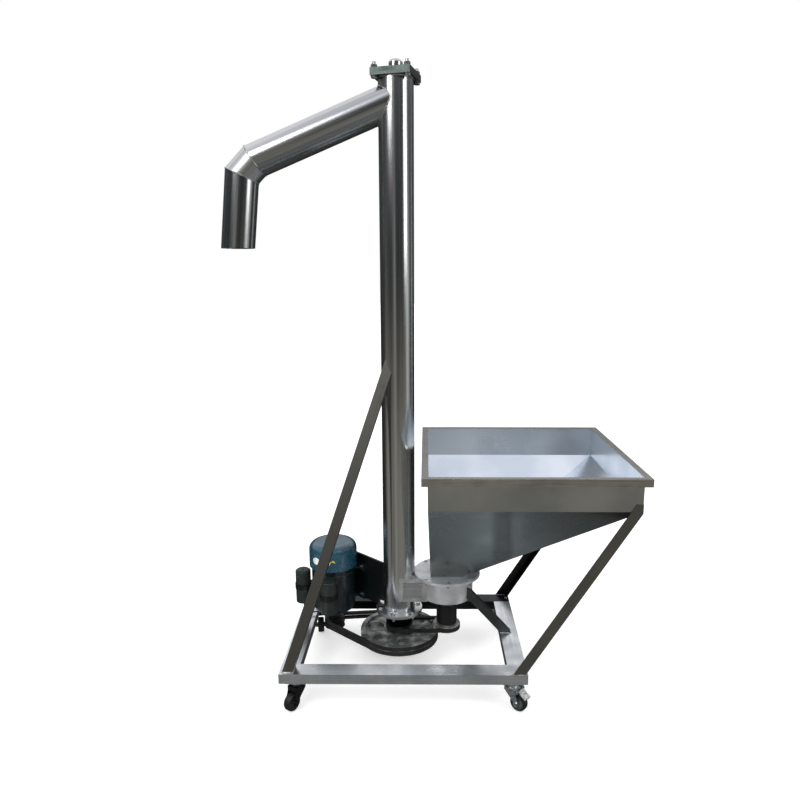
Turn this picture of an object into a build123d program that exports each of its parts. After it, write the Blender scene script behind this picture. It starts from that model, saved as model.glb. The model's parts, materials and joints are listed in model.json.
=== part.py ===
"""Mobile grain auger: hopper with rotary feeder, vertical screw conveyor, belt drive and wheeled base.

Millimetres. Z is up, X runs from the spout side to the hopper side, Y runs from the
front of the base to the back. Every solid is first laid out from the base's front left
corner, at heights above a level datum 17 mm under the floor, then shifted so the origin
is on the floor under the middle of the machine.
"""
import math
import os

from build123d import *

# ---- driving dimensions -------------------------------------------------------------
# base frame
base_len, base_dep = 720.0, 506.0          # outside length and depth
beam_w, beam_h, beam_t = 55.0, 30.0, 2.5   # rectangular tube
base_top = 135.0                           # top of the beams

# casters
caster_h = 88.0                            # floor to the beam's underside
wheel_d, wheel_w = 52.0, 21.0
trail = 24.0
caster_inset_left, caster_inset_right, caster_inset_y = 48.0, 41.0, 28.0
crown_z = 84.0                             # underside of the fork crown
brake_x, brake_z, brake_r = 26.0, 80.5, 3.0   # brake pin from the kingpin, height and radius

# screw conveyor
tube_x, tube_y = 338.0, 304.0              # auger axis
tube_r, tube_t = 51.0, 2.0
tube_bot, tube_top = 188.0, 1813.0
flight_r, flight_pitch, flight_t = tube_r - 4, 90.0, 3.0
flight_z0, flight_gap = tube_bot + 20, 75.0   # lowest turn, and the clear length under the tube's top
flight_turns = int((tube_top - flight_gap - flight_z0) / flight_pitch)
shaft_r, journal_r = 16.0, 12.5
bearing_r, bore_play = 26.0, 0.05          # outer radius of the auger's bearings, play between shaft and bore
flange_r, flange_t = tube_r + 24, 5.0
flange_bolt_r, corner_stud_r = tube_r + 12, tube_r + 17
square_side, square_t = 2 * tube_r + 14, 8.0

# spout: centreline points as (distance out from the auger axis, height)
spout_r, spout_t = 49.0, 1.8
spout_a = (0.0, tube_top - 59)
spout_b = (409.0, tube_top - 227)
spout_c = (449.0, tube_top - 268)
spout_d = (471.0, tube_top - 473)

# hopper
hop_x0, hop_x1, hop_y0, hop_y1 = 430.0, 1018.0, 3.0, 607.0
hop_fold, hop_top = 628.0, 726.0
out_x0, out_x1, out_y0, out_y1, out_z = 440.0, 540.0, 254.0, 354.0, 320.0
sheet = 2.0
rim_over, rim_drop = 18.0, 22.0

# rotary feeder
feed_x, feed_y = 494.0, 304.0
feed_r, feed_t = 84.0, 5.0
feed_bot, feed_top = 238.0, 311.0
feed_flange_r, feed_bolt_r = feed_r + 23, feed_r + 13
feed_hub_r = 33.5
feed_bearing_r, feed_shaft_r = 23.5, 10.0

# belt drive
main_r, motor_pulley_r, feed_pulley_r = 127.5, 34.0, 44.0
pulley_z0, pulley_z1 = 86.0, 118.0
groove_z = (94.5, 109.5)
feed_belt_z = 128.0
belt_half, belt_h, belt_proud = 6.5, 8.0, 0.8
pitch_drop = 3.3                           # pitch line below the pulley's outside radius plus proud height

# motor
motor_x, motor_y = 114.0, 373.0
motor_r, cowl_r, cowl_t = 72.0, 79.0, 1.6
motor_bot, motor_top, cowl_top = 155.0, 313.0, 393.0
plate_off, plate_t = 81.0, 6.0             # motor axis to its mounting face
plate_dir = -42.97                         # plan angle of the mounting plate


# ---- helpers ------------------------------------------------------------------------
def block(x0, x1, y0, y1, z0, z1):
    return Pos((x0 + x1) / 2, (y0 + y1) / 2, (z0 + z1) / 2) * Box(x1 - x0, y1 - y0, z1 - z0)


def disc(x, y, z0, z1, r):
    return Pos(x, y, (z0 + z1) / 2) * Cylinder(r, z1 - z0)


def ring(x, y, z0, z1, ro, ri):
    return disc(x, y, z0, z1, ro) - disc(x, y, z0 - 1, z1 + 1, ri)


def turned(x, y, pts):
    """Solid of revolution about a vertical axis from (radius, height) points."""
    face = make_face(Polyline(*[(r, 0, z) for r, z in pts], close=True))
    return Pos(x, y, 0) * revolve(face, Axis.Z)


def bar(p0, p1, w, d, xdir=(1, 0, 0), before=0.0, after=0.0):
    """Rectangular bar along p0 to p1, extended at either end."""
    a, b = Vector(*p0), Vector(*p1)
    u = (b - a).normalized()
    x = Vector(*xdir)
    x = (x - u * x.dot(u)).normalized()
    pl = Plane(origin=a - u * before, x_dir=x, z_dir=u)
    return extrude(pl * Rectangle(w, d), (b - a).length + before + after)


def rod(p0, p1, r):
    a, b = Vector(*p0), Vector(*p1)
    return extrude(Plane(origin=a, z_dir=(b - a)) * Circle(r), (b - a).length)


def hexagon(x, y, z0, z1, flats, turn=0.0):
    return Pos(x, y, z0) * Rot(0, 0, turn) * extrude(RegularPolygon(flats / math.sqrt(3), 6), z1 - z0)


def bolt(x, y, z_head, z_end, r, flats, head, nut_z=None, nut_h=None):
    """Hex bolt hanging down from a head whose underside is at z_head, with an optional nut."""
    s = hexagon(x, y, z_head, z_head + head, flats) + disc(x, y, z_end, z_head, r)
    if nut_z is None:
        return [s]
    nut = hexagon(x, y, nut_z, nut_z + nut_h, flats, 10) - disc(x, y, nut_z - 1, nut_z + nut_h + 1, r)
    return [s, nut]


def hexa(lo, hi):
    """Solid with eight corners: four round the bottom, four round the top."""
    n = 4
    quads = [lo[::-1], hi] + [[lo[i], lo[(i + 1) % n], hi[(i + 1) % n], hi[i]] for i in range(n)]
    faces = [Face(Wire.make_polygon([Vector(*p) for p in q], close=True)) for q in quads]
    s = Solid(Shell(faces))
    return s if s.volume > 0 else Solid(s.wrapped.Reversed())


def polar(x, y, r, n, start=0.0):
    return [(x + r * math.cos(math.radians(start + 360.0 * i / n)),
             y + r * math.sin(math.radians(start + 360.0 * i / n))) for i in range(n)]


def grooved(r, z0, z1, centres, extra=()):
    """Pulley profile points with V grooves; the bore side is closed by extra points."""
    a, depth = belt_half + 0.2, 9.5
    b = a - depth * math.tan(math.radians(18))
    pts = [(r, z0)]
    for c in centres:
        pts += [(r, c - a), (r - depth, c - b), (r - depth, c + b), (r, c + a)]
    return pts + [(r, z1)] + list(extra)


def belt(c1, r1, c2, r2, zc):
    """V belt round two pulleys, r1 and r2 being the belt's outside radius on each."""
    dx, dy = c2[0] - c1[0], c2[1] - c1[1]
    d = math.hypot(dx, dy)
    phi = math.degrees(math.atan2(dy, dx))
    alpha = math.degrees(math.acos((r1 - r2) / d))
    lo = belt_half - belt_h * math.tan(math.radians(18))

    def section(c, r, ang):
        ca, sa = math.cos(math.radians(ang)), math.sin(math.radians(ang))
        o, i = (c[0] + r * ca, c[1] + r * sa), (c[0] + (r - belt_h) * ca, c[1] + (r - belt_h) * sa)
        return make_face(Polyline((*o, zc - belt_half), (*o, zc + belt_half), (*i, zc + lo), (*i, zc - lo),
                                  close=True))

    span = math.sqrt(d * d - (r1 - r2) ** 2)
    body = revolve(section(c1, r1, phi + alpha), Axis((c1[0], c1[1], 0), (0, 0, 1)), 360 - 2 * alpha)
    body += revolve(section(c2, r2, phi - alpha), Axis((c2[0], c2[1], 0), (0, 0, 1)), 2 * alpha)
    for sgn in (1, -1):
        ang = math.radians(phi + sgn * alpha)
        p = Vector(c1[0] + r1 * math.cos(ang), c1[1] + r1 * math.sin(ang))
        q = Vector(c2[0] + r2 * math.cos(ang), c2[1] + r2 * math.sin(ang))
        body += extrude(section(c1, r1, phi + sgn * alpha), span, dir=tuple(q - p))
    return body


nodes = {}


def put(name, *shapes):
    """File one or more solids under a node name."""
    solids = []
    for s in shapes:
        solids += list(s.solids()) if not isinstance(s, list) else [t for q in s for t in q.solids()]
    nodes[name] = solids


# ---- base frame ---------------------------------------------------------------------
zb = base_top - beam_h
floor_z = zb - caster_h


def beam_x(y0):
    w = beam_t
    return (block(0, base_len, y0, y0 + beam_w, zb, base_top)
            - block(-1, base_len + 1, y0 + w, y0 + beam_w - w, zb + w, base_top - w))


def beam_y(x0):
    w = beam_t
    return (block(x0, x0 + beam_w, beam_w, base_dep - beam_w, zb, base_top)
            - block(x0 + w, x0 + beam_w - w, beam_w - 1, base_dep - beam_w + 1, zb + w, base_top - w))


put("base_front_beam", beam_x(0))
put("base_back_beam", beam_x(base_dep - beam_w))
put("base_left_beam", beam_y(0))
put("base_right_beam", beam_y(base_len - beam_w))
caps = [block(x, x + 4, y + beam_t, y + beam_w - beam_t, zb + beam_t, base_top - beam_t)
        for x in (0, base_len - 4) for y in (0, base_dep - beam_w)]
put("beam_end_caps", *caps)

# ---- casters ------------------------------------------------------------------------
left_x, right_x = caster_inset_left, base_len - caster_inset_right
front_y, rear_y = caster_inset_y, base_dep - caster_inset_y
corners = {                                # kingpin position and the way the wheel trails
    "front_left": (left_x, front_y, (-0.525, -0.85)),
    "front_right": (right_x, front_y, (0.744, -0.668)),
    "rear_left": (left_x, rear_y, (0.18, -0.98)),
    "rear_right": (right_x, rear_y, (0.80, 0.60)),
}
axle_z = floor_z + wheel_d / 2
crown_top = crown_z + 4
fork_in, fork_out = 14.5, 17.5             # inner and outer faces of the fork's side plates
king_r, axle_r = 5.5, 4.0


def upright(pts, wide):
    """Plate cut to points given as (distance out from the kingpin, height), extruded across."""
    return extrude(make_face(Polyline(*[(x, 0, z) for x, z in pts], close=True)), wide, dir=(0, 1, 0))


plates = []
for cname, (cx, cy, cd) in corners.items():
    at = Pos(cx, cy, 0) * Rot(0, 0, math.degrees(math.atan2(cd[1], cd[0])))
    braked = cname.endswith("right")
    # top plate with its ball race and kingpin stays with the beam
    plate = block(cx - 30, cx + 30, cy - 25, cy + 25, zb - 3, zb)
    plate += disc(cx, cy, zb - 9, zb - 3, 21)
    plate += disc(cx, cy, crown_z - 2, zb - 9, king_r) + disc(cx, cy, crown_z - 4.5, crown_z - 0.5, 9)
    plates.append(plate)
    # fork: crown, ball race and two side plates carrying the axle
    crown = disc(0, 0, crown_z, crown_top, 20) + block(-17, 20, -fork_out, fork_out, crown_z, crown_top)
    crown += disc(0, 0, crown_top, zb - 9.4, 19)
    side = upright([(-17, crown_top), (22, crown_top), (22, 73), (trail + 8, axle_z + 3),
                    (trail - 8, axle_z + 3), (-17, 76)], fork_out - fork_in)
    side += rod((trail, 0, axle_z), (trail, fork_out - fork_in, axle_z), 8.5)
    if braked:
        side += upright([(14, crown_top), (30, crown_top), (31, 77), (18, 70)], fork_out - fork_in)
    else:
        crown += block(19.5, 22, -fork_out, fork_out, 75, crown_top)
    fork = crown + Pos(0, fork_in, 0) * side + Pos(0, -fork_out, 0) * side
    fork += rod((trail, -fork_out, axle_z), (trail, fork_out, axle_z), axle_r)
    for s in (-1, 1):
        fork += extrude(Plane(origin=(trail, s * fork_out, axle_z), z_dir=(0, s, 0)) * Circle(6.5), 3.5)
    fork -= disc(0, 0, crown_z - 1, zb - 7, king_r + 0.06)
    if braked:
        fork -= rod((brake_x, -18, brake_z), (brake_x, 18, brake_z), brake_r + 0.05)
    put(cname + "_caster_fork", at * fork)
    # wheel: tyre, recessed disc and hub turned in one piece
    h, r = wheel_w / 2, wheel_d / 2
    half = [(axle_r + bore_play, -14.2), (8, -14.2), (8, -6), (r - 9, -6), (r - 7.5, -h + 1), (r - 5.5, -h),
            (r - 2.5, -h), (r - 0.7, -h + 3)]
    prof = half + [(r, 0)] + [(a, -b) for a, b in reversed(half)]
    wheel = Rot(90, 0, 0) * revolve(make_face(Polyline(*[(a, 0, b) for a, b in prof], close=True)), Axis.Z)
    put(cname + "_caster_wheel", at * Pos(trail, 0, axle_z) * wheel)
    if braked:
        # foot pedal on a cross pin, with a brake shoe over the tyre
        tread = upright([(20.5, 80.5), (28, 80.5), (51, 64.2), (54, 64.2), (54, 67), (29.5, 84),
                         (20.5, 84)], 28)
        pedal = Pos(0, -14, 0) * tread + block(32, 40, -8, 8, 69.8, 76)
        pedal += rod((brake_x, -19.5, brake_z), (brake_x, 19.5, brake_z), brake_r)
        put(cname + "_brake_pedal", at * pedal)
put("caster_plates", *plates)

# ---- screw conveyor: tube, flanges, bearings ------------------------------------------
P = [Vector(tube_x - p[0], tube_y, p[1]) for p in (spout_a, spout_b, spout_c, spout_d)]
d1, d2, d3 = [(P[i + 1] - P[i]).normalized() for i in range(3)]
mitre_b = Plane(origin=P[1], z_dir=(d1 + d2))
mitre_c = Plane(origin=P[2], z_dir=(d2 + d3))


def leg_of_spout(a, b, before, after, r):
    u = (b - a).normalized()
    return extrude(Plane(origin=a - u * before, z_dir=u) * Circle(r), (b - a).length + before + after)


def pipe_leg(a, b, before, after):
    bore = leg_of_spout(a, b, before + 1, after + 1, spout_r - spout_t)
    return leg_of_spout(a, b, before, after, spout_r) - bore


tube_solid = disc(tube_x, tube_y, tube_bot - 20, tube_top + 20, tube_r)
branch = split(pipe_leg(P[0], P[1], 0, 60), mitre_b, keep=Keep.BOTTOM) - tube_solid
elbow = split(split(pipe_leg(P[1], P[2], 60, 60), mitre_b, keep=Keep.TOP), mitre_c, keep=Keep.BOTTOM)
drop = split(pipe_leg(P[2], P[3], 60, 30), mitre_c, keep=Keep.TOP)
# the outlet is cut level with the floor
drop -= block(-400, tube_x, tube_y - 100, tube_y + 100, spout_d[1] - 100, spout_d[1])
put("spout_branch", branch)
put("spout_elbow", elbow)
put("spout_drop", drop)

chute_x0, chute_y0, chute_y1, chute_z0, chute_z1 = 340.0, 250.0, 358.0, 235.0, 317.0 - 6.0
tube = ring(tube_x, tube_y, tube_bot, tube_top, tube_r, tube_r - tube_t)
tube -= leg_of_spout(P[0], P[1], 0, 0, spout_r - spout_t)
tube -= block(tube_x + 8, tube_x + tube_r + 9, tube_y - 42, tube_y + 42, chute_z0 + 5, chute_z1 - 5)
put("conveyor_tube", tube)

flange_bolts = polar(tube_x, tube_y, flange_bolt_r, 6, 15)
low_flange = ring(tube_x, tube_y, tube_bot, tube_bot + flange_t, flange_r, tube_r)
square = Pos(tube_x, tube_y, tube_top - square_t) * Rot(0, 0, 75)
square = square * extrude(Rectangle(square_side, square_side), square_t)
square -= disc(tube_x, tube_y, tube_top - 9, tube_top + 1, tube_r)
corner_pts = polar(tube_x, tube_y, corner_stud_r, 4, 30)
for x, y in flange_bolts:
    low_flange -= disc(x, y, tube_bot - 1, tube_bot + 6, 4.2)
for x, y in corner_pts:
    square -= disc(x, y, tube_top - 9, tube_top + 1, 5.2)
put("tube_flanges", low_flange, square)

hz = tube_bot - flange_t
housing = turned(tube_x, tube_y, [
    (bearing_r, hz - 44), (40, hz - 44), (44, hz - 40), (44, hz - 3), (47, hz), (flange_r, hz),
    (flange_r, tube_bot), (journal_r + 0.7, tube_bot), (journal_r + 0.7, hz - 12), (bearing_r, hz - 12)])
for x, y in flange_bolts:
    housing -= disc(x, y, hz - 1, tube_bot + 1, 4.2)
put("bottom_bearing_housing", housing)

tz = tube_top
top_plate = Pos(tube_x, tube_y, tz) * Rot(0, 0, 75) * extrude(Rectangle(square_side, square_side), 12)
top_plate = top_plate + disc(tube_x, tube_y, tz - 23, tz, 34)
top_plate -= disc(tube_x, tube_y, tz - 24, tz - 4, bearing_r)
top_plate -= disc(tube_x, tube_y, tz - 24, tz + 13, 14)
for x, y in corner_pts:
    top_plate -= disc(x, y, tz - 1, tz + 13, 5.2)
put("top_bearing_housing", top_plate)
cap = disc(tube_x, tube_y, tz + 12, tz + 43, 20)
cap = fillet(cap.edges().group_by(Axis.Z)[-1], 9)
cap = cap - disc(tube_x, tube_y, tz + 11, tz + 38, 17.2)
put("top_bearing_cap", cap)

bolts = []
for x, y in flange_bolts:
    bolts += bolt(x, y, tube_bot + 5, hz - 12, 4, 13, 5.3, hz - 6.5, 6.5)
for x, y in corner_pts:
    stud = disc(x, y, tz - 8, tz + 28, 5) + hexagon(x, y, tz - 14.4, tz - 8, 16)
    nut = hexagon(x, y, tz + 12, tz + 20.4, 16, 12) - disc(x, y, tz + 11, tz + 22, 5)
    bolts += [stud, nut]
put("tube_flange_bolts", *bolts)

# ---- auger --------------------------------------------------------------------------
step = tube_bot + 6                        # where the shaft swells from its journal to full size
shaft = disc(tube_x, tube_y, pulley_z0 - 7, step, journal_r) + disc(tube_x, tube_y, step, tz - 28, shaft_r)
shaft += disc(tube_x, tube_y, tz - 28, tz + 30, journal_r)
put("auger_shaft", shaft)
fi = shaft_r + 0.1
helix = Helix(flight_pitch, flight_pitch, (fi + flight_r) / 2)
profile = Plane(origin=helix @ 0, z_dir=helix % 0, x_dir=(1, 0, 0)) * Rectangle(flight_r - fi, flight_t)
flight = sweep(profile, path=helix, is_frenet=True)
levels = [flight_z0 + flight_pitch * i for i in range(flight_turns)]
put("auger_flighting", *[Pos(tube_x, tube_y, level) * flight for level in levels])

web_z0, web_z1, rim_in = pulley_z0 + 11, pulley_z1 - 8, main_r - 15
pocket_r, web_t = 27.5, 3.5                 # round pockets in the web, and the thickness left under them
pocket_ring = rim_in - pocket_r - 3
main = turned(tube_x, tube_y, grooved(main_r, pulley_z0, pulley_z1, groove_z, [
    (rim_in, pulley_z1), (rim_in - 1, web_z1), (32, web_z1), (30, pulley_z1 + 1), (journal_r, pulley_z1 + 1),
    (journal_r, pulley_z0 - 2), (30, pulley_z0 - 2), (32, web_z0), (rim_in - 2, web_z0), (rim_in, pulley_z0)]))
for x, y in polar(tube_x, tube_y, pocket_ring, 6, -74):
    main -= disc(x, y, web_z0 + web_t, pulley_z1 + 5, pocket_r)
put("main_pulley", main)
tr = turned(tube_x, tube_y, grooved(feed_pulley_r, pulley_z1 + 1, pulley_z1 + 19, (feed_belt_z,),
                                    [(journal_r, pulley_z1 + 19), (journal_r, pulley_z1 + 1)]))
put("transfer_pulley", tr)

# ---- rotary feeder --------------------------------------------------------------------
ft = feed_top
drum = turned(feed_x, feed_y, [
    (12.5, feed_bot), (feed_r - 2, feed_bot), (feed_r, feed_bot + 2), (feed_r, ft - 4), (feed_r + 3, ft),
    (feed_flange_r, ft), (feed_flange_r, ft + 4), (feed_r - feed_t, ft + 4), (feed_r - feed_t, feed_bot + 5),
    (12.5, feed_bot + 5)])
inlet_low, inlet_high = chute_z0 + 9, chute_z1 - 5
drum -= block(feed_x - feed_r - 10, feed_x - 60, feed_y - 42, feed_y + 42, inlet_low, inlet_high)
feed_bolts = [p for i, p in enumerate(polar(feed_x, feed_y, feed_bolt_r, 8)) if i != 4]   # none over the chute
lid = disc(feed_x, feed_y, ft + 4, out_z, feed_flange_r)
lid -= block(out_x0 + sheet, out_x1 - sheet, out_y0 + sheet, out_y1 - sheet, ft, out_z + 5)
for x, y in feed_bolts:
    drum -= disc(x, y, ft - 1, ft + 5, 3.2)
    lid -= disc(x, y, ft, out_z + 1, 3.2)
drum -= tube_solid
lid -= tube_solid
put("feeder_drum", drum)
put("feeder_top_plate", lid)
hub = turned(feed_x, feed_y, [
    (feed_bearing_r, 141), (feed_hub_r - 2, 141), (feed_hub_r, 143), (feed_hub_r, feed_bot - 6),
    (feed_hub_r + 9, feed_bot - 4), (feed_hub_r + 9, feed_bot), (feed_shaft_r + 1, feed_bot),
    (feed_shaft_r + 1, feed_bot - 8), (feed_bearing_r, feed_bot - 8)])
put("feeder_bearing_housing", hub)
rotor = disc(feed_x, feed_y, 112, 304, feed_shaft_r) + disc(feed_x, feed_y, feed_bot + 7, ft - 5, 20)
for i in range(6):
    blade = block(15, feed_r - 9, -2, 2, feed_bot + 8, ft - 5)
    blade = Pos(feed_x, feed_y, 0) * Rot(0, 0, 60 * i + 15) * blade
    rotor += blade
put("feeder_rotor", rotor)
fp = turned(feed_x, feed_y, grooved(feed_pulley_r, pulley_z1 + 1, pulley_z1 + 19, (feed_belt_z,),
                                    [(feed_shaft_r, pulley_z1 + 19), (feed_shaft_r, pulley_z1 + 1)]))
put("feeder_pulley", fp)

# feed chute between the feeder drum and the conveyor tube
drum_solid = turned(feed_x, feed_y, [
    (0, feed_bot - 10), (feed_r, feed_bot - 10), (feed_r, ft - 4), (feed_r + 3, ft), (feed_flange_r, ft),
    (feed_flange_r, ft + 10), (0, ft + 10)])
chute = block(chute_x0, feed_x, chute_y0, chute_y1, chute_z0, chute_z1)
chute -= block(chute_x0 - 1, feed_x + 1, chute_y0 + 6, chute_y1 - 3, chute_z0 + 3, chute_z1 - 3)
chute = chute - tube_solid - drum_solid
cv = (352.0, 412.0, 247.0, 300.0)
chute -= block(cv[0], cv[1], chute_y0 - 1, chute_y0 + 3, cv[2], cv[3])
chute -= block(cv[0] + 9, cv[1] - 9, chute_y0 - 1, chute_y0 + 8, cv[2] + 9, cv[3] - 9)
put("feed_chute", chute)
cover = block(cv[0] + 0.3, cv[1] - 0.3, chute_y0 + 0.5, chute_y0 + 3, cv[2] + 0.3, cv[3] - 0.3)
inset = 4.5
screws_at = [(x, z) for x in (cv[0] + inset, cv[1] - inset) for z in (cv[2] + inset, cv[3] - inset)]
put("chute_cover", cover)
fasteners = []
for x, y in feed_bolts:
    fasteners += bolt(x, y, out_z, ft - 8, 3, 10, 4, ft - 5, 5)
for x, z in screws_at:
    fasteners.append(rod((x, chute_y0 - 2.5, z), (x, chute_y0 + 0.5, z), 3.6))
put("feeder_fasteners", *fasteners)


# ---- hopper -------------------------------------------------------------------------
def rect(x0, x1, y0, y1, z, inset=0.0):
    return [(x0 + inset, y0 + inset, z), (x1 - inset, y0 + inset, z),
            (x1 - inset, y1 - inset, z), (x0 + inset, y1 - inset, z)]


fold_o = rect(hop_x0, hop_x1, hop_y0, hop_y1, hop_fold)
fold_i = rect(hop_x0, hop_x1, hop_y0, hop_y1, hop_fold, sheet)
out_o, out_i = rect(out_x0, out_x1, out_y0, out_y1, out_z), rect(out_x0, out_x1, out_y0, out_y1, out_z, sheet)
wall_top = hop_top - sheet
for i, wname in enumerate(("front", "right", "back", "left")):
    j = (i + 1) % 4
    lo = [out_o[i], out_o[j], out_i[j], out_i[i]]
    mid = [fold_o[i], fold_o[j], fold_i[j], fold_i[i]]
    up = [(x, y, wall_top) for x, y, z in mid]
    put("hopper_" + wname + "_wall", hexa(lo, mid) + hexa(mid, up))
ro = rect(hop_x0 - rim_over, hop_x1 + rim_over, hop_y0 - rim_over, hop_y1 + rim_over, wall_top)
rl = rect(hop_x0 - rim_over, hop_x1 + rim_over, hop_y0 - rim_over, hop_y1 + rim_over, wall_top, sheet)
ri = rect(hop_x0, hop_x1, hop_y0, hop_y1, wall_top, sheet)
rim = []
for i in range(4):
    j = (i + 1) % 4
    flat_lo = [ro[i], ro[j], ri[j], ri[i]]
    flat = hexa(flat_lo, [(x, y, hop_top) for x, y, z in flat_lo])
    lip_hi = [ro[i], ro[j], rl[j], rl[i]]
    lip = hexa([(x, y, hop_top - rim_drop) for x, y, z in lip_hi], lip_hi)
    rim.append(flat + lip)
put("hopper_rim", *rim)
envelope = hexa(out_o, fold_o) + block(hop_x0, hop_x1, hop_y0, hop_y1, hop_fold, hop_top)

# ---- struts ---------------------------------------------------------------------------
under = block(-400, 1400, -400, 1000, -300, base_top)
strut = 30.0


def hollow(p0, p1, w, xdir, before, after):
    return bar(p0, p1, w, w, xdir, before, after) - bar(p0, p1, w - 4, w - 4, xdir, before + 1, after + 1)


def angle_iron(p0, p1, inward):
    """Equal angle rising along p0 to p1: one leg upright on the outer side, one along its lower edge."""
    u = (Vector(*p1) - Vector(*p0)).normalized()
    off = Vector(-u.Z, inward, u.X) * angle_t
    q0, q1 = tuple(Vector(*p0) + off), tuple(Vector(*p1) + off)
    return bar(p0, p1, strut, strut, (0, 1, 0), 40, 60) - bar(q0, q1, strut, strut, (0, 1, 0), 50, 70)


angle_t, lap = 3.0, 22.0                   # thickness, and how far the front one laps over the hopper band
beyond = block(hop_x1, hop_x1 + 200, -50, 700, 0, 1000) + block(300, 1300, -50, 700, hop_fold + lap, 1000)
foot_x, head_x = base_len - 26, hop_x1 - 15
for sname, y, inward in (("front_hopper_strut", strut / 2, 1), ("rear_hopper_strut", base_dep - strut / 2, -1)):
    s = angle_iron((foot_x, y, base_top), (head_x, y, hop_fold), inward) - under - envelope - beyond
    put(sname, max(s.solids(), key=lambda q: q.volume))
s = hollow((25.5, 25, base_top), (tube_x - 38.5, tube_y - 39, 955), strut, (1, 0, 0), 40, 78)
s = s - under - tube_solid
put("tube_strut", max(s.solids(), key=lambda q: q.volume))
brace_w = 25.0
s = hollow((base_len - 38, 250, base_top), (feed_x + 76, 258, feed_bot + 17), brace_w, (0, 1, 0), 40, 34)
s = s - under - disc(feed_x, feed_y, 200, ft, feed_r)
put("feeder_brace", max(s.solids(), key=lambda q: q.volume))

# ---- motor and its mounting plate -----------------------------------------------------
nx, ny = -math.sin(math.radians(plate_dir)), math.cos(math.radians(plate_dir))
foot = Pos(motor_x + plate_off * nx, motor_y + plate_off * ny, 0) * Rot(0, 0, plate_dir)
mplate = foot * block(-80, 190, 0, plate_t, 180, 335) - tube_solid
mplate -= disc(tube_x, tube_y, 170, tube_bot + 12, flange_r + 1)
mplate = max(mplate.solids(), key=lambda q: q.volume)
mb, mt = motor_bot, motor_top
foot_z = (194.0, 294.0)
mplate = mplate - [foot * rod((s_, -2, z), (s_, plate_t + 2, z), 4.3) for s_ in (-62.5, 62.5) for z in foot_z]
put("motor_mount_plate", mplate)
brg_r, mshaft_r, cavity_r = 23.5, 9.5, motor_r - 12
seat_r = cowl_r - cowl_t - 0.2             # the cowl slips over this shoulder
body = turned(motor_x, motor_y, [
    (brg_r, mb - 8), (30, mb - 8), (32, mb), (motor_r - 14, mb), (motor_r - 6, mb + 5), (motor_r - 1, mb + 16),
    (motor_r - 1, mb + 22), (motor_r, mb + 23), (motor_r, mt - 20), (motor_r - 1, mt - 19),
    (motor_r - 1, mt - 2), (seat_r, mt), (seat_r, mt + 8), (brg_r, mt + 8), (brg_r, mt - 6),
    (11, mt - 6), (11, mt - 10),
    (cavity_r, mt - 14), (cavity_r, mt - 28), (41, mt - 28), (41, mb + 30), (cavity_r, mb + 30),
    (cavity_r, mb + 17), (11, mb + 13), (11, mb + 6), (brg_r, mb + 6)])
for z in foot_z:
    body += foot * block(-78, 78, -12, 0, z - 11, z + 11) - disc(motor_x, motor_y, z - 20, z + 20, cavity_r)
    for s_ in (-1, 1):
        web = foot * block(min(s_ * 30, s_ * 52), max(s_ * 30, s_ * 52), -52, -12, z - 4, z + 4)
        body += web - disc(motor_x, motor_y, z - 20, z + 20, cavity_r)
        body -= foot * rod((s_ * 62.5, -14, z), (s_ * 62.5, 2, z), 4.3)
put("motor_body", body)
mbolts = []
for s_ in (-62.5, 62.5):
    for z in foot_z:
        head = extrude(Plane(origin=(s_, -12, z), z_dir=(0, -1, 0)) * RegularPolygon(7.5, 6), 5.3)
        nut = extrude(Plane(origin=(s_, plate_t, z), z_dir=(0, 1, 0)) * RegularPolygon(7.5, 6), 6.5)
        mbolts.append(foot * (head + rod((s_, -12, z), (s_, plate_t + 10, z), 4)))
        mbolts.append(foot * (nut - rod((s_, 0, z), (s_, 20, z), 4)))
put("motor_foot_bolts", *mbolts)
shoulder = 24.0
cowl = disc(motor_x, motor_y, mt, cowl_top, cowl_r)
cowl = fillet(cowl.edges().group_by(Axis.Z)[-1], shoulder)
inner = disc(motor_x, motor_y, mt - 1, cowl_top - cowl_t, cowl_r - cowl_t)
cowl = cowl - fillet(inner.edges().group_by(Axis.Z)[-1], shoulder - cowl_t)
for i in range(7):                         # air slots in the skirt, on the side away from the hopper's front
    slot = block(60, 100, -2.5, 2.5, mt + 16, cowl_top - 30)
    cowl -= Pos(motor_x, motor_y, 0) * Rot(0, 0, 60 + 12 * i) * slot
put("motor_fan_cowl", cowl)
put("motor_shaft", disc(motor_x, motor_y, 84, mt + 34, 9.5) + disc(motor_x, motor_y, mb + 32, mt - 30, 40))
fan = disc(motor_x, motor_y, mt + 14, mt + 18, 60) + disc(motor_x, motor_y, mt + 12, mt + 34, 16)
for i in range(8):
    fan += Pos(motor_x, motor_y, 0) * Rot(0, 0, 45 * i) * block(14, 60, -1.2, 1.2, mt + 16, mt + 34)
fan -= disc(motor_x, motor_y, mt + 10, mt + 36, 9.5)
put("motor_fan", fan)
small = grooved(motor_pulley_r, pulley_z0, pulley_z1, groove_z,
                [(20, pulley_z1), (20, pulley_z1 + 6), (9.5, pulley_z1 + 6), (9.5, pulley_z0)])
put("motor_pulley", turned(motor_x, motor_y, small))

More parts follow.
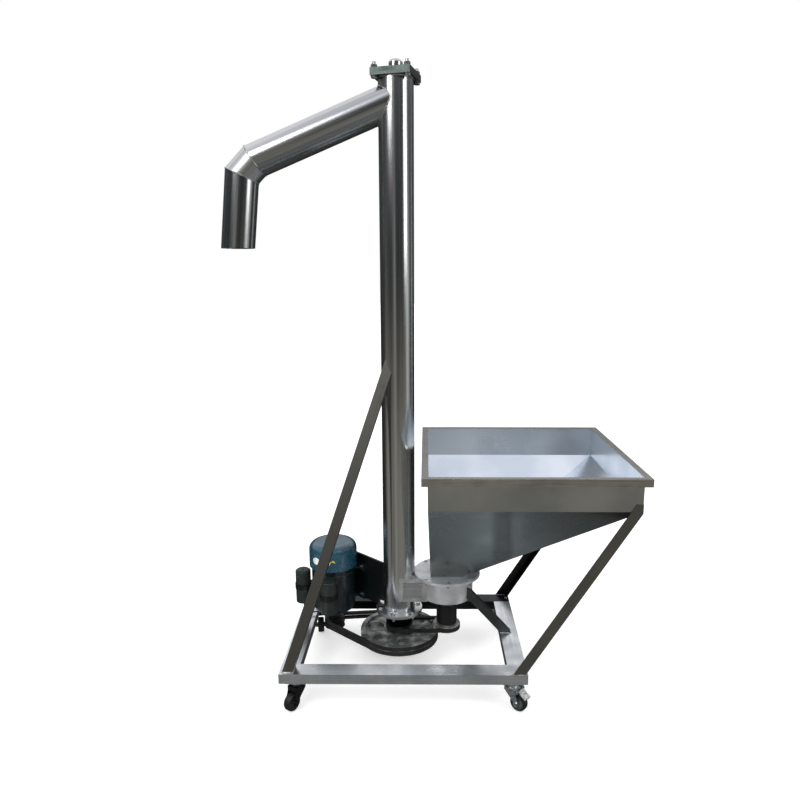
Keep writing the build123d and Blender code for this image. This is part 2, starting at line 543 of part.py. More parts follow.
# capacitors strapped to the motor body, and the lead of the first one
cap_a, cap_b = (16.0, 345.0, 25.0, 190.0, 305.0), (111.0, 273.0, 27.0, 185.0, 300.0)
motor_solid = disc(motor_x, motor_y, 100, 400, motor_r)
straps = []
for cname, (x, y, r, z0, z1) in (("start_capacitor", cap_a), ("run_capacitor", cap_b)):
    can = disc(x, y, z0, z1 - 4, r)
    can = fillet(can.edges().group_by(Axis.Z)[0] + can.edges().group_by(Axis.Z)[-1], 3)
    can += disc(x, y, z1 - 6, z1 - 1.5, r - 5) + disc(x, y, z1 - 4, z1, 4)
    put(cname, can)
    zc = (z0 + z1) / 2
    ang = math.degrees(math.atan2(motor_y - y, motor_x - x))
    strap = disc(x, y, zc - 9, zc + 9, r + 2)
    strap += Pos(x, y, 0) * Rot(0, 0, ang) * block(10, 60, -14, 14, zc - 9, zc + 9)
    strap = strap - disc(x, y, zc - 20, zc + 20, r + 0.05) - motor_solid
    straps += [max(strap.solids(), key=lambda q: q.volume)]
put("capacitor_clamps", *straps)
ax_, ay_, ar_, az_, _ = cap_a
lead_r = 2.3
lead_pts = [(ax_, ay_, az_), (ax_, ay_, az_ - 22), (ax_ + 11, ay_ + 3, az_ - 40), (ax_ + 31, ay_ + 9, az_ - 47),
            (ax_ + 51, ay_ + 14.5, az_ - 44), (ax_ + 66, ay_ + 18, mb - 2.4)]
runs = [(Vector(*b) - Vector(*a)).length for a, b in zip(lead_pts, lead_pts[1:])]
legs = [Vector(*b) - Vector(*a) for a, b in zip(lead_pts, lead_pts[1:])]
turns = [a.get_angle(b) for a, b in zip(legs, legs[1:])]
lead_bends = [0.45 * min(runs[i], runs[i + 1]) / math.tan(math.radians(t / 2)) for i, t in enumerate(turns)]
route = FilletPolyline(*lead_pts, radius=lead_bends)
put("capacitor_lead", sweep(Plane(origin=route @ 0, z_dir=route % 0) * Circle(lead_r), path=route))

# ---- belts and bearings ----------------------------------------------------------------
mo, ma, fe = (motor_x, motor_y), (tube_x, tube_y), (feed_x, feed_y)
put("drive_belts", *[belt(ma, main_r + belt_proud, mo, motor_pulley_r + belt_proud, z) for z in groove_z])
put("feeder_belt", belt(ma, feed_pulley_r + belt_proud, fe, feed_pulley_r + belt_proud, feed_belt_z))
put("ball_bearings",
    ring(tube_x, tube_y, hz - 42, hz - 27, bearing_r, journal_r + bore_play),
    ring(tube_x, tube_y, hz - 27, hz - 12, bearing_r, journal_r + bore_play),
    ring(tube_x, tube_y, tz - 19, tz - 4, bearing_r, journal_r + bore_play),
    ring(feed_x, feed_y, 143, 157, feed_bearing_r, feed_shaft_r + bore_play),
    ring(feed_x, feed_y, feed_bot - 22, feed_bot - 8, feed_bearing_r, feed_shaft_r + bore_play),
    ring(motor_x, motor_y, mb - 8, mb + 6, brg_r, mshaft_r + bore_play),
    ring(motor_x, motor_y, mt - 6, mt + 8, brg_r, mshaft_r + bore_play))

# ---- shift to the shared origin and write ----------------------------------------------
whole = Compound([s for group in nodes.values() for s in group]).bounding_box()
shift = Vector(-(whole.min.X + whole.max.X) / 2, -(whole.min.Y + whole.max.Y) / 2, -whole.min.Z)
ratio = (main_r + belt_proud - pitch_drop) / (motor_pulley_r + belt_proud - pitch_drop)

if __name__ == "__main__":
    os.makedirs("parts", exist_ok=True)
    for name, solids in nodes.items():
        moved = [Pos(shift.X, shift.Y, shift.Z) * s for s in solids]
        export_step(moved[0] if len(moved) == 1 else Compound(moved), os.path.join("parts", name + ".step"))
    print("lead length", round(route.length, 1), "bends", [round(b, 1) for b in lead_bends])
    print(len(nodes), "nodes", "shift", [round(c, 4) for c in shift], "size", whole.size)
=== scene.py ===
"""Looks for a wheeled grain auger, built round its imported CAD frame. Metres, Z up."""
import json
import math

import bmesh
import bpy
import numpy as np
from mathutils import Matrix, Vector


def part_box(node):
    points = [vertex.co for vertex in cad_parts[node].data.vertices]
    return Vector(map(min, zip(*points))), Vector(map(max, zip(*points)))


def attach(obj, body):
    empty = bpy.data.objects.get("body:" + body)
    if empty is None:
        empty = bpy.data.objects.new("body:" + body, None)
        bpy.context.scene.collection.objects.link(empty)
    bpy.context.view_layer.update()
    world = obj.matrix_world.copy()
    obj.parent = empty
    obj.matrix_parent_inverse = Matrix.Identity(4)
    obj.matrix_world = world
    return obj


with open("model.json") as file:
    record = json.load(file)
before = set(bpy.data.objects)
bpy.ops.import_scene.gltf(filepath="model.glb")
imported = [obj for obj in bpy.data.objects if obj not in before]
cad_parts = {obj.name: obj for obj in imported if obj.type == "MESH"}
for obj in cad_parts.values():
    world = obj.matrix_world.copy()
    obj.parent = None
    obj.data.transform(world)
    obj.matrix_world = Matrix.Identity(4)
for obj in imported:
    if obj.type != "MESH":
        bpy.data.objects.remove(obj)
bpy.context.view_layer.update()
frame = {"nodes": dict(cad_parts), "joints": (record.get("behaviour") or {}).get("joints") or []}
nodes = frame["nodes"]

# ---- polished stainless tube and spout ------------------------------------------------
# The conveying tube and the three mitred spout legs are 304 stainless tube, mirror polished
# along their length, so they carry long soft streaks and a slight roll of the surface.


def linear(code):
    """An sRGB hex colour as linear red, green, blue and alpha."""
    srgb = np.array([int(code[i:i + 2], 16) for i in (1, 3, 5)]) / 255
    value = np.where(srgb <= 0.04045, srgb / 12.92, ((srgb + 0.055) / 1.055) ** 2.4)
    return (*map(float, value), 1.0)


def add(tree, kind, settings, inputs):
    """Adds one node: settings are its properties, inputs are values or sockets to link."""
    node = tree.nodes.new(kind)
    for name, value in settings.items():
        setattr(node, name, value)
    for name, value in inputs.items():
        if isinstance(value, bpy.types.NodeSocket):
            tree.links.new(value, node.inputs[name])
        else:
            node.inputs[name].default_value = value
    return node


def shade(tree, value, stops):
    """A colour ramp from (position, hex colour) stops, read at value."""
    ramp = add(tree, "ShaderNodeValToRGB", {}, {"Fac": value})
    elements = ramp.color_ramp.elements
    while len(elements) < len(stops):
        elements.new(1.0)
    for element, (place, code) in zip(elements, stops):
        element.position = place
        element.color = linear(code)
    return ramp.outputs["Color"]


def start_material(name, metallic, roughness):
    """A material with its Principled shader and the piece's own coordinates."""
    material = bpy.data.materials.new(name)
    material.use_nodes = True
    tree = material.node_tree
    shader = tree.nodes["Principled BSDF"]
    shader.inputs["Metallic"].default_value = metallic
    shader.inputs["Roughness"].default_value = roughness
    place = add(tree, "ShaderNodeTexCoord", {}, {}).outputs["Object"]
    return material, tree, shader, place


def bump(tree, shader, height, distance, strength=1.0):
    """Raises the surface by height times distance, in metres."""
    node = add(tree, "ShaderNodeBump", {}, {"Height": height, "Distance": distance, "Strength": strength})
    tree.links.new(node.outputs["Normal"], shader.inputs["Normal"])


def polished_tube(name, centre, turn, gloss=0.15):
    """Polished tube: centre is on its axis, turn brings the axis to Z, gloss is its least roughness."""
    material, tree, shader, place = start_material(name, 1.0, gloss)
    away = tuple(-float(c) for c in centre)
    shifted = add(tree, "ShaderNodeMapping", {}, {"Vector": place, "Location": away}).outputs["Vector"]
    along = add(tree, "ShaderNodeMapping", {}, {"Vector": shifted, "Rotation": turn}).outputs["Vector"]
    # streaks: noise round the tube that hardly changes along it, about 5 mm apart
    stretch = {"Vector": along, "Scale": (170.0, 170.0, 1.3)}
    streaks = add(tree, "ShaderNodeMapping", {}, stretch).outputs["Vector"]
    fine = add(tree, "ShaderNodeTexNoise", {},
               {"Vector": streaks, "Scale": 1.0, "Detail": 4.0}).outputs["Fac"]
    broad_map = add(tree, "ShaderNodeMapping", {}, {"Vector": along, "Scale": (38.0, 38.0, 0.9)})
    broad = add(tree, "ShaderNodeTexNoise", {},
                {"Vector": broad_map.outputs["Vector"], "Scale": 1.0, "Detail": 2.0})
    both = add(tree, "ShaderNodeMath", {"operation": "MULTIPLY_ADD"}, {0: fine, 1: 0.45, 2: 0.0})
    total = add(tree, "ShaderNodeMath", {"operation": "MULTIPLY_ADD"},
                {0: broad.outputs["Fac"], 1: 0.55, 2: both.outputs["Value"]}).outputs["Value"]
    colour = shade(tree, total, [(0.30, "#a6a8a8"), (0.50, "#c6c7c7"), (0.68, "#dedddb")])
    tree.links.new(colour, shader.inputs["Base Color"])
    rough = add(tree, "ShaderNodeMapRange", {}, {"Value": total, "From Min": 0.3, "From Max": 0.7,
                                                  "To Min": gloss, "To Max": gloss + 0.09})
    tree.links.new(rough.outputs["Result"], shader.inputs["Roughness"])
    # a slow roll along the tube bends the reflections
    roll = add(tree, "ShaderNodeTexNoise", {},
               {"Vector": along, "Scale": 7.0, "Detail": 1.0}).outputs["Fac"]
    bump(tree, shader, roll, 0.0012, 0.4)
    return material


tube_low, tube_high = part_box("conveyor_tube")
tube_x, tube_y = (tube_low.x + tube_high.x) / 2, (tube_low.y + tube_high.y) / 2
tube_r = 0.051
spout_r = 0.049
# spout centreline: distance out from the tube's axis, and height
spout_line = [(0.0, 1.737), (0.409, 1.569), (0.449, 1.528), (0.471, 1.323)]
spout_points = np.array([(tube_x - out, tube_y, high) for out, high in spout_line])
spout_dirs = np.diff(spout_points, axis=0)
spout_dirs /= np.linalg.norm(spout_dirs, axis=1)[:, None]


def dress(node, material):
    """Gives a CAD node its material."""
    slots = nodes[node].data.materials
    slots.clear()
    slots.append(material)


dress("conveyor_tube", polished_tube("polished_stainless_tube", (tube_x, tube_y, 0), (0, 0, 0)))
for leg, node in enumerate(("spout_branch", "spout_elbow", "spout_drop")):
    lean = math.atan2(spout_dirs[leg][0], spout_dirs[leg][2])
    satin = 0.30 if node == "spout_elbow" else 0.16
    dress(node, polished_tube("polished_stainless_" + node, spout_points[leg], (0, -lean, 0), satin))

# ---- weld beads ---------------------------------------------------------------------
# Thin TIG beads join the spout legs, the spout to the tube, the flange to the tube and the
# struts to the frame: small rippled ridges, a little brighter than the polished sheet.


def bead(name, line, radius, closed=True, pitch=0.0035):
    """Sweeps a circle along a line of points; its radius ripples once every pitch metres."""
    line = np.asarray(line, float)
    after = np.roll(line, -1, 0) if closed else np.vstack([line[1:], 2 * line[-1] - line[-2]])
    before = np.roll(line, 1, 0) if closed else np.vstack([2 * line[0] - line[1], line[:-1]])
    tangent = after - before
    tangent /= np.linalg.norm(tangent, axis=1)[:, None]
    guide = np.array([0.31, 0.22, 0.92])
    side = np.cross(tangent, guide)
    side /= np.linalg.norm(side, axis=1)[:, None]
    up = np.cross(side, tangent)
    walked = np.concatenate([[0], np.cumsum(np.linalg.norm(np.diff(line, axis=0), axis=1))])
    size = radius * (1 + 0.16 * np.sin(2 * math.pi * walked / pitch))
    if not closed:
        size[[0, -1]] *= 0.25
    sides = 8
    turn = np.linspace(0, 2 * math.pi, sides, endpoint=False)
    round_side = np.cos(turn)[None, :, None] * side[:, None, :]
    round_up = np.sin(turn)[None, :, None] * up[:, None, :]
    rings = line[:, None, :] + size[:, None, None] * (round_side + round_up)
    count = len(line)
    steps = count if closed else count - 1
    i, j = np.meshgrid(np.arange(steps), np.arange(sides), indexing="ij")
    i2, j2 = (i + 1) % count, (j + 1) % sides
    quads = np.stack([i * sides + j, i * sides + j2, i2 * sides + j2, i2 * sides + j], -1).reshape(-1, 4)
    faces = quads[:, ::-1].tolist()
    if not closed:
        faces += [list(range(sides)), list(range((count - 1) * sides, count * sides))[::-1]]
    return piece(name, rings.reshape(-1, 3), faces)


def piece(name, points, faces):
    """A smooth-shaded mesh object at the origin, with its faces turned outwards."""
    mesh = bpy.data.meshes.new(name)
    mesh.from_pydata(np.asarray(points, float).tolist(), [], [list(map(int, f)) for f in faces])
    work = bmesh.new()
    work.from_mesh(mesh)
    bmesh.ops.remove_doubles(work, verts=work.verts, dist=1e-6)
    bmesh.ops.recalc_face_normals(work, faces=work.faces)
    work.to_mesh(mesh)
    work.free()
    mesh.polygons.foreach_set("use_smooth", [True] * len(mesh.polygons))
    made = bpy.data.objects.new(name, mesh)
    bpy.context.scene.collection.objects.link(made)
    return made


def weld_metal(name, light, dark):
    """TIG weld in stainless: bright, rippled, with straw and blue heat tint in places."""
    material, tree, shader, place = start_material(name, 1.0, 0.3)
    tint = add(tree, "ShaderNodeTexNoise", {},
               {"Vector": place, "Scale": 60.0, "Detail": 3.0}).outputs["Fac"]
    colour = shade(tree, tint, [(0.35, dark), (0.55, light), (0.75, "#b9a98c")])
    tree.links.new(colour, shader.inputs["Base Color"])
    grain = add(tree, "ShaderNodeTexNoise", {},
                {"Vector": place, "Scale": 700.0, "Detail": 2.0}).outputs["Fac"]
    bump(tree, shader, grain, 0.0003)
    return material


weld = weld_metal("tig_weld_stainless", "#dfe0de", "#8b8d8c")


def fix(made, material, body="machine"):
    """Gives a made piece its material and body."""
    made.data.materials.append(material)
    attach(made, body)
    return made


round_turn = np.linspace(0, 2 * math.pi, 180, endpoint=False)
for number in (1, 2):
    # the ellipse where the mitre plane cuts the leg's cylinder
    axis = spout_dirs[number - 1]
    normal = spout_dirs[number - 1] + spout_dirs[number]
    across = np.array([0.0, 1.0, 0.0])
    upward = np.cross(axis, across)
    ring = spout_r * (np.cos(round_turn)[:, None] * across + np.sin(round_turn)[:, None] * upward)
    ring = ring - (ring @ normal / (axis @ normal))[:, None] * axis
    fix(bead("spout_mitre_weld_%d" % number, spout_points[number] + ring, 0.0016), weld)
# the saddle where the branch meets the tube: each line of the branch meets the tube's circle
axis = spout_dirs[0]
upward = np.cross(axis, across)
ring = spout_r * (np.cos(round_turn)[:, None] * across + np.sin(round_turn)[:, None] * upward)
reach = -np.sqrt(tube_r ** 2 - ring[:, 1] ** 2)
travel = (reach - ring[:, 0]) / axis[0]
fix(bead("spout_saddle_weld", spout_points[0] + ring + travel[:, None] * axis, 0.0020), weld)
flange_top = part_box("bottom_bearing_housing")[1].z + 0.005   # the flange is 5 mm thick
top_weld_drop = 0.0205                                       # from the cap's foot down to the square flange
circle = np.stack([np.cos(round_turn), np.sin(round_turn)], 1)
for name, high in (("bottom_flange_weld", flange_top),
                   ("top_flange_weld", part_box("top_bearing_cap")[0].z - top_weld_drop)):
    line = np.column_stack([tube_x + tube_r * circle[:, 0], tube_y + tube_r * circle[:, 1],
                            np.full(len(circle), high)])
    fix(bead(name, line, 0.0022), weld)


def edge_line(corners, gap=0.004):
    """Points every gap metres round a closed polygon."""
    corners = np.asarray(corners, float)
    runs = []
    for a, b in zip(corners, np.roll(corners, -1, 0)):
        steps = max(2, int(np.linalg.norm(b - a) / gap))
        runs.append(a + (b - a) * np.linspace(0, 1, steps, endpoint=False)[:, None])
    return np.vstack(runs)


beam_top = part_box("base_front_beam")[1].z
for node in ("tube_strut", "front_hopper_strut", "rear_hopper_strut", "feeder_brace"):
    # the outer outline of the strut's cut end, walked edge by edge along the beam's top
    mesh = nodes[node].data
    spots = [tuple(round(c, 5) for c in v.co) for v in mesh.vertices]
    sides = set()
    for face in mesh.polygons:
        around_face = [spots[i] for i in face.vertices]
        if max(p[2] for p in around_face) < beam_top + 0.0002:
            sides |= set(zip(around_face, around_face[1:] + around_face[:1]))
    onward = {a: b for a, b in sides if (b, a) not in sides}
    middle = np.mean(list(onward), axis=0)
    outline = [max(onward, key=lambda p: np.linalg.norm(np.array(p) - middle))]
    while onward[outline[-1]] != outline[0]:
        outline.append(onward[outline[-1]])
    outline = np.array(outline)
    outline[:, 2] = beam_top + 0.0004
    fix(bead(node + "_foot_weld", edge_line(outline), 0.0018), weld)

# ---- base beams and plates ------------------------------------------------------------
# Rectangular stainless tube and plate, ground with a belt so fine lines run along each
# length; the tops are scuffed and carry cloudy marks. The back beam is the same steel, coloured near black
# as painted shade.


def brushed(name, light, dark, roughness, turn=(0, 0, 0), cloud=0.5, depth=0.00025):
    """Belt-ground stainless: lines along X after turn, about 1 mm apart, drawn 3 mm apart to show."""
    material, tree, shader, place = start_material(name, 1.0, roughness)
    turned = add(tree, "ShaderNodeMapping", {}, {"Vector": place, "Rotation": turn}).outputs["Vector"]
    lines_at = add(tree, "ShaderNodeMapping", {},
                   {"Vector": turned, "Scale": (5.0, 330.0, 330.0)}).outputs["Vector"]
    lines = add(tree, "ShaderNodeTexNoise", {},
                {"Vector": lines_at, "Scale": 1.0, "Detail": 5.0}).outputs["Fac"]
    clouds = add(tree, "ShaderNodeTexNoise", {},
                 {"Vector": turned, "Scale": 9.0, "Detail": 5.0, "Roughness": 0.6})
    mixed = add(tree, "ShaderNodeMath", {"operation": "MULTIPLY"}, {0: lines, 1: 1 - cloud})
    total = add(tree, "ShaderNodeMath", {"operation": "MULTIPLY_ADD"},
                {0: clouds.outputs["Fac"], 1: cloud, 2: mixed.outputs["Value"]}).outputs["Value"]
    tree.links.new(shade(tree, total, [(0.36, dark), (0.62, light)]), shader.inputs["Base Color"])
    rough = add(tree, "ShaderNodeMapRange", {}, {"Value": total, "From Min": 0.35, "From Max": 0.65,
                                                  "To Min": roughness + 0.08, "To Max": roughness - 0.06})
    tree.links.new(rough.outputs["Result"], shader.inputs["Roughness"])
    bump(tree, shader, lines, depth, 0.6)
    return material


quarter_turn = math.pi / 2
beam_x = brushed("ground_stainless_beam_x", "#f3f5f8", "#c9ced3", 0.30, cloud=0.7, depth=0.00003)
beam_y = brushed("ground_stainless_beam_y", "#f3f5f8", "#c3c8cd", 0.30, (0, 0, quarter_turn), 0.7, 0.00012)
dress("base_front_beam", beam_x)
# the back beam's near-black colours are painted shade on the same ground steel as the other beams
dress("base_back_beam",
      brushed("painted_shade_stainless_back_beam", "#3a3d3f", "#26282a", 0.34, cloud=0.7, depth=0.00003))
for node in ("base_left_beam", "base_right_beam"):
    dress(node, beam_y)
dress("beam_end_caps", beam_y)

# ---- struts ---------------------------------------------------------------------------
# Square tube and angle struts, ground along their length to a warmer, darker satin than the beams;
# the rear hopper strut is coloured near black as painted shade.
hopper_lean = math.atan2(0.493, 0.309)
long_tilt, long_lean = math.atan2(0.240, 0.820), math.atan2(math.hypot(0.240, 0.820), 0.274)
smooth = 0.00005
for node, light, dark, turn in (("front_hopper_strut", "#8f8d86", "#7b7972", (0, hopper_lean, 0)),
                                # the rear hopper strut is the same steel: its near-black colours are painted
                                # shade
                                ("rear_hopper_strut", "#3b3a38", "#2a2a28", (0, hopper_lean, 0)),
                                ("tube_strut", "#8a8881", "#706e67", (long_tilt, long_lean, 0)),
                                ("feeder_brace", "#6c6d6e", "#4b4c4d", (0, -2.28, 0))):
    dress(node, brushed("satin_" + node, light, dark, 0.38, turn, 0.7, smooth))

# ---- hopper ---------------------------------------------------------------------------
# Folded 2 mm stainless sheet in cold-rolled 2B finish: cool grey, milky, with faint dents
# from folding; the rim strips are ground along their length. The walls carry painted light:
# the back, left and right walls are lighter and bluish as a painted reflection of the ceiling,
# and the front wall is darker as painted shade.


def sheet_metal(name, light, dark, roughness, dent):
    """2B cold-rolled sheet: milky patches a hand wide and faint dents."""
    material, tree, shader, place = start_material(name, 1.0, roughness)
    patches = add(tree, "ShaderNodeTexNoise", {},
                  {"Vector": place, "Scale": 4.5, "Detail": 3.0}).outputs["Fac"]
    tree.links.new(shade(tree, patches, [(0.36, dark), (0.64, light)]), shader.inputs["Base Color"])
    rough = add(tree, "ShaderNodeMapRange", {}, {"Value": patches, "From Min": 0.35, "From Max": 0.65,
                                                  "To Min": roughness + 0.05, "To Max": roughness - 0.04})
    tree.links.new(rough.outputs["Result"], shader.inputs["Roughness"])
    dents = add(tree, "ShaderNodeTexNoise", {},
                {"Vector": place, "Scale": 3.5, "Detail": 0.0}).outputs["Fac"]
    bump(tree, shader, dents, dent, 0.5)
    return material


# per-wall colours: lighter bluish walls are painted reflection of the ceiling, the darker front wall is
# painted shade
for node, light, dark in (("hopper_front_wall", "#c6c9c8", "#abaeae"),
                          ("hopper_back_wall", "#eaf0f5", "#d3dce4"),
                          ("hopper_left_wall", "#e2e7ea", "#c9cfd4"),
                          ("hopper_right_wall", "#eaf0f5", "#d3dce4")):
    dress(node, sheet_metal("lit_and_shaded_cold_rolled_" + node, light, dark, 0.24, 0.0025))
dress("hopper_rim", brushed("ground_stainless_rim", "#d3d0cc", "#a7a39e", 0.26, cloud=0.6, depth=0.0001))

# ---- feeder, chute and flanges ----------------------------------------------------------
# The feeder drum is a blasted stainless casting: pale, even and grainy. The chute is fine-sanded
# plate with a ground cover, and the flanges are turned bright steel.


def blasted(name, light, dark, roughness, grit):
    """Bead-blasted metal: grit-sized pits, drawn 1.5 mm apart so that they show."""
    material, tree, shader, place = start_material(name, 0.85, roughness)
    grains = add(tree, "ShaderNodeTexNoise", {},
                 {"Vector": place, "Scale": 650.0, "Detail": 3.0}).outputs["Fac"]
    patch = add(tree, "ShaderNodeTexNoise", {},
                {"Vector": place, "Scale": 22.0, "Detail": 4.0}).outputs["Fac"]
    total = add(tree, "ShaderNodeMath", {"operation": "MULTIPLY_ADD"},
                {0: grains, 1: 0.35, 2: 0.0}).outputs["Value"]
    total = add(tree, "ShaderNodeMath", {"operation": "MULTIPLY_ADD"},
                {0: patch, 1: 0.65, 2: total}).outputs["Value"]
    tree.links.new(shade(tree, total, [(0.38, dark), (0.62, light)]), shader.inputs["Base Color"])
    bump(tree, shader, grains, grit)
    return material


casting = blasted("blasted_stainless_casting", "#e8eaeb", "#c2c4c5", 0.38, 0.0004)
for node in ("feeder_drum", "feeder_top_plate"):
    dress(node, casting)
dress("feed_chute", blasted("sanded_chute_plate", "#d9d9d8", "#aaaaa8", 0.42, 0.0004))
dress("chute_cover", brushed("ground_chute_cover", "#cfd1d3", "#a9adaf", 0.36, depth=0.0001))


def turned_steel(name, centre, light, dark, roughness):
    """Lathe-turned steel: fine rings about the axis through centre, drawn 2 mm apart."""
    material, tree, shader, place = start_material(name, 1.0, roughness)
    away = (-float(centre[0]), -float(centre[1]), 0.0)
    shifted = add(tree, "ShaderNodeMapping", {}, {"Vector": place, "Location": away}).outputs["Vector"]
    flat = add(tree, "ShaderNodeVectorMath", {"operation": "MULTIPLY"}, {0: shifted, 1: (1.0, 1.0, 0.0)})
    radius = add(tree, "ShaderNodeVectorMath", {"operation": "LENGTH"},
                 {0: flat.outputs["Vector"]}).outputs["Value"]
    high = add(tree, "ShaderNodeSeparateXYZ", {}, {"Vector": shifted}).outputs["Z"]
    pair = add(tree, "ShaderNodeCombineXYZ", {}, {"X": radius, "Y": high, "Z": 0.0}).outputs["Vector"]
    rings = add(tree, "ShaderNodeTexNoise", {},
                {"Vector": pair, "Scale": 500.0, "Detail": 3.0}).outputs["Fac"]
    stain = add(tree, "ShaderNodeTexNoise", {},
                {"Vector": place, "Scale": 28.0, "Detail": 4.0}).outputs["Fac"]
    total = add(tree, "ShaderNodeMath", {"operation": "MULTIPLY_ADD"},
                {0: rings, 1: 0.5, 2: 0.0}).outputs["Value"]
    total = add(tree, "ShaderNodeMath", {"operation": "MULTIPLY_ADD"},
                {0: stain, 1: 0.5, 2: total}).outputs["Value"]
    tree.links.new(shade(tree, total, [(0.38, dark), (0.62, light)]), shader.inputs["Base Color"])
    bump(tree, shader, rings, 0.0003, 0.7)
    return material


tube_axis = (tube_x, tube_y)


def darkened_by_level(material, high, above, dark_colour):
    """Mixes an even dark colour into one side of a level: above it when above is True, else below."""
    tree = material.node_tree
    shader = tree.nodes["Principled BSDF"]
    metal = shader.inputs["Base Color"].links[0].from_socket
    place = add(tree, "ShaderNodeTexCoord", {}, {}).outputs["Object"]
    level = add(tree, "ShaderNodeSeparateXYZ", {}, {"Vector": place}).outputs["Z"]
    side = add(tree, "ShaderNodeMath", {"operation": "GREATER_THAN" if above else "LESS_THAN"},
               {0: level, 1: high})
    side = side.outputs["Value"]
    mixed = add(tree, "ShaderNodeMix", {"data_type": "RGBA"},
                {"Factor": side, "A": metal, "B": linear(dark_colour)})
    tree.links.new(mixed.outputs["Result"], shader.inputs["Base Color"])
    return material


flange = turned_steel("turned_stainless_flange", tube_axis, "#fafbfb", "#d8dbdc", 0.32)
# the flange part is made darker above 1 m, where the top flange is
dress("tube_flanges", darkened_by_level(flange, 1.0, True, "#4d5552"))
dress("top_bearing_housing", turned_steel("machined_top_plate", tube_axis, "#5d6662", "#3c4441", 0.36))
dress("top_bearing_cap", turned_steel("spun_stainless_cap", tube_axis, "#dcdcda", "#8f9190", 0.2))
for node in ("auger_shaft", "auger_flighting"):
    dress(node, turned_steel("drawn_steel_" + node, tube_axis, "#c8c8c6", "#8e8e8b", 0.32))
dress("ball_bearings", turned_steel("ground_bearing_steel", tube_axis, "#c9cacb", "#8d8f90", 0.25))

# ---- fasteners --------------------------------------------------------------------------
# Zinc-plated hex bolts and nuts: bright, faintly blue, slightly mottled.


def plated(name, light, dark, roughness):
    """Zinc plate: cool bright metal with soft mottling a few millimetres wide."""
    material, tree, shader, place = start_material(name, 1.0, roughness)
    mottle = add(tree, "ShaderNodeTexNoise", {},
                 {"Vector": place, "Scale": 180.0, "Detail": 4.0}).outputs["Fac"]
    tree.links.new(shade(tree, mottle, [(0.36, dark), (0.62, light)]), shader.inputs["Base Color"])
    bump(tree, shader, mottle, 0.0003)
    return material


zinc = plated("zinc_plated_steel", "#e3e5e8", "#9b9fa3", 0.27)
for node in ("tube_flange_bolts", "feeder_fasteners", "motor_foot_bolts", "caster_plates"):
    dress(node, zinc)

# ---- pulleys, hubs and belts --------------------------------------------------------------
# Grey iron pulleys under thin black paint worn bright at the rims, a black-painted feeder
# bearing housing, the bottom bearing housing coloured near black below its flange as painted shade,
# and wrapped rubber V belts with a fabric face.


def painted_iron(name, dark_colour, worn, roughness, wear):
    """Cast iron under thin paint: sand-cast grain, rubbed through to metal where wear is high."""
    material, tree, shader, place = start_material(name, 0.35, roughness)
    grain = add(tree, "ShaderNodeTexNoise", {},
                {"Vector": place, "Scale": 420.0, "Detail": 4.0}).outputs["Fac"]
    rub = add(tree, "ShaderNodeTexNoise", {},
              {"Vector": place, "Scale": 34.0, "Detail": 6.0}).outputs["Fac"]
    lit = shade(tree, rub, [(0.62 - wear, dark_colour), (0.84 - wear, worn)])
    tree.links.new(lit, shader.inputs["Base Color"])
    bump(tree, shader, grain, 0.0006)
    return material


dress("main_pulley", painted_iron("painted_iron_main_pulley", "#585a5a", "#a3a4a2", 0.40, 0.16))
dress("transfer_pulley", painted_iron("painted_iron_transfer", "#1d1e1e", "#474645", 0.45, 0.05))
dress("feeder_pulley", painted_iron("worn_iron_feeder_pulley", "#6d6d6a", "#b3b2ad", 0.36, 0.2))
dress("motor_pulley", painted_iron("painted_iron_motor_pulley", "#191a1b", "#3f3e3d", 0.45, 0.03))
dress("feeder_rotor", painted_iron("iron_feeder_rotor", "#5a5a58", "#8d8c89", 0.45, 0.15))
housing = turned_steel("turned_bearing_housing", tube_axis, "#eef0f0", "#c0c3c4", 0.36)
# below its flange the bearing housing is coloured near black as painted shade from the flange
dress("bottom_bearing_housing", darkened_by_level(housing, flange_top - 0.0105, False, "#101111"))
dress("feeder_bearing_housing", painted_iron("black_iron_feeder_hub", "#1a1b1b", "#41403e", 0.42, 0.02))


def rubber(name, light, dark, roughness, scale):
    """Moulded or wrapped rubber: near black, matt, with dust in the grain."""
    material, tree, shader, place = start_material(name, 0.0, roughness)
    grain = add(tree, "ShaderNodeTexNoise", {},
                {"Vector": place, "Scale": scale, "Detail": 4.0}).outputs["Fac"]
    dust = add(tree, "ShaderNodeTexNoise", {},
               {"Vector": place, "Scale": 25.0, "Detail": 5.0}).outputs["Fac"]
    total = add(tree, "ShaderNodeMath", {"operation": "MULTIPLY"}, {0: grain, 1: dust}).outputs["Value"]
    tree.links.new(shade(tree, total, [(0.16, dark), (0.42, light)]), shader.inputs["Base Color"])
    bump(tree, shader, grain, 0.0004)
    return material


belt_rubber = rubber("wrapped_rubber_belt", "#2b2a29", "#0c0c0c", 0.6, 600.0)
for node in ("drive_belts", "feeder_belt"):
    dress(node, belt_rubber)
dress("capacitor_lead", rubber("pvc_lead", "#232323", "#0b0b0b", 0.4, 400.0))

# ---- motor ----------------------------------------------------------------------------
# Cast and rolled motor body in dark teal enamel; the fan cowl is pressed steel in blue
# hammertone, which dries into small shallow cells that sparkle.


def hammertone(name, light, dark, roughness, cell):
    """Hammered enamel: cells a few millimetres wide with raised edges and lighter centres."""
    material, tree, shader, place = start_material(name, 0.15, roughness)
    shader.inputs["Coat Weight"].default_value = 0.6
    shader.inputs["Coat Roughness"].default_value = 0.06
    cells = add(tree, "ShaderNodeTexVoronoi", {"feature": "SMOOTH_F1"},
                {"Vector": place, "Scale": 1 / cell})
    far = cells.outputs["Distance"]
    drift = add(tree, "ShaderNodeTexNoise", {},
                {"Vector": place, "Scale": 18.0, "Detail": 3.0}).outputs["Fac"]
    total = add(tree, "ShaderNodeMath", {"operation": "MULTIPLY_ADD"},
                {0: drift, 1: 0.8, 2: far}).outputs["Value"]
    tree.links.new(shade(tree, total, [(0.45, light), (1.15, dark)]), shader.inputs["Base Color"])
    bump(tree, shader, far, 0.0004, 0.5)
    return material


